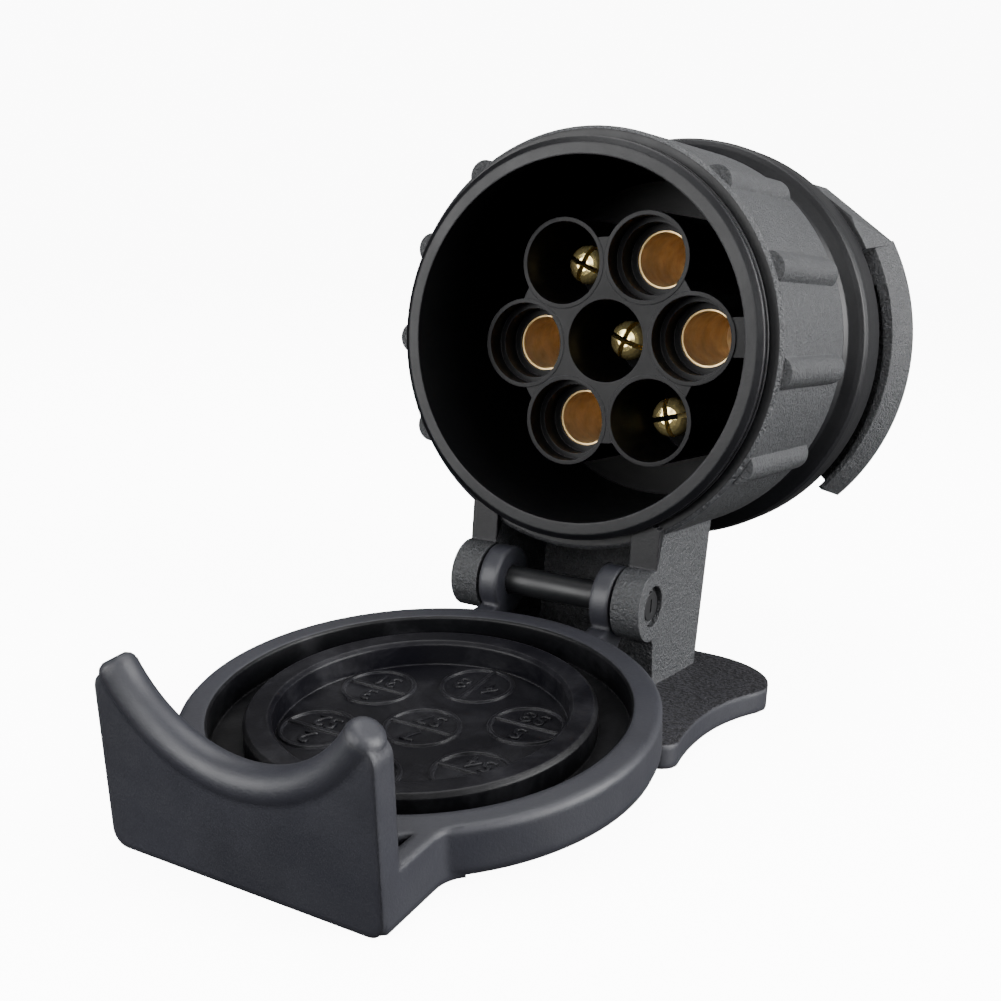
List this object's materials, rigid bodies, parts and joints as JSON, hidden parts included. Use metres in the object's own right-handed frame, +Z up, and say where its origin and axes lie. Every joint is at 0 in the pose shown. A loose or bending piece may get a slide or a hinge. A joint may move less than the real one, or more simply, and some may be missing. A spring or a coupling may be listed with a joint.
{
  "type": "trailer wiring adapter",
  "caption": "Short trailer wiring adapter: seven-way socket with contacts and a hinged lid in front, thirteen-way twist-lock plug behind, ribbed black shell.",
  "frame": {"origin": "on the socket axis, in the plane of the mouth rim", "axes": "+Y runs back along the socket axis towards the plug, +Z is up away from the hinge, +X is across"},
  "size_m": [0.057, 0.1188, 0.0722],
  "materials": {
    "black_shell": "fine moulded grain",
    "insert_black": "smooth",
    "copper_sleeve": "satin, copper tone",
    "brass_pin": "bright turned",
    "plated_pin": "plated",
    "hinge_black": "black oxide",
    "spring_steel": "satin",
    "sleeve_rubber": "matt",
    "wire_green": "smooth",
    "wire_brown": "smooth",
    "wire_red": "smooth",
    "wire_yellow": "smooth",
    "wire_blue": "smooth",
    "wire_white": "smooth",
    "wire_dark": "smooth"
  },
  "bodies": {
    "shell": {"socket_shell": "black_shell", "contact_insert": "insert_black", "sleeve_0": "copper_sleeve", "sleeve_60": "copper_sleeve", "sleeve_180": "copper_sleeve", "sleeve_240": "copper_sleeve", "split_pin_120": "brass_pin", "split_pin_mid": "brass_pin", "split_pin_300": "brass_pin", "insert_clamp_ring": "insert_black", "hinge_pin": "hinge_black", "wire_sleeve": "sleeve_rubber", "front_wire_0": "wire_green", "front_wire_60": "wire_brown", "front_wire_120": "wire_red", "front_wire_180": "wire_yellow", "front_wire_240": "wire_blue", "front_wire_300": "wire_white", "front_wire_mid": "wire_dark", "bayonet_collar": "black_shell", "core_circlip": "spring_steel"},
    "lid": {"lid_cover": "black_shell"},
    "core": {"plug_core": "insert_black", "plug_pin_1": "plated_pin", "plug_pin_2": "plated_pin", "plug_pin_3": "plated_pin", "plug_pin_4": "plated_pin", "plug_pin_5": "plated_pin", "plug_pin_6": "plated_pin", "plug_pin_7": "plated_pin", "plug_pin_8": "plated_pin", "plug_pin_9": "plated_pin", "plug_pin_10": "plated_pin", "plug_pin_11": "plated_pin", "plug_pin_12": "plated_pin", "plug_pin_13": "plated_pin", "rear_wire_1": "wire_yellow", "rear_wire_2": "wire_blue", "rear_wire_3": "wire_white", "rear_wire_4": "wire_green", "rear_wire_5": "wire_brown", "rear_wire_6": "wire_red", "rear_wire_7": "wire_dark"}
  },
  "joints": [
    {"name": "lid_hinge", "type": "hinge", "parent": "shell", "child": "lid", "pos_m": [0, 0.00145, -0.0291], "axis": [1, 0, 0], "range_deg": [-100, 0]},
    {"name": "core_twist", "type": "hinge", "parent": "shell", "child": "core", "pos_m": [0, 0.042, 0], "axis": [0, 1, 0], "range_deg": [0, 90]}
  ]
}
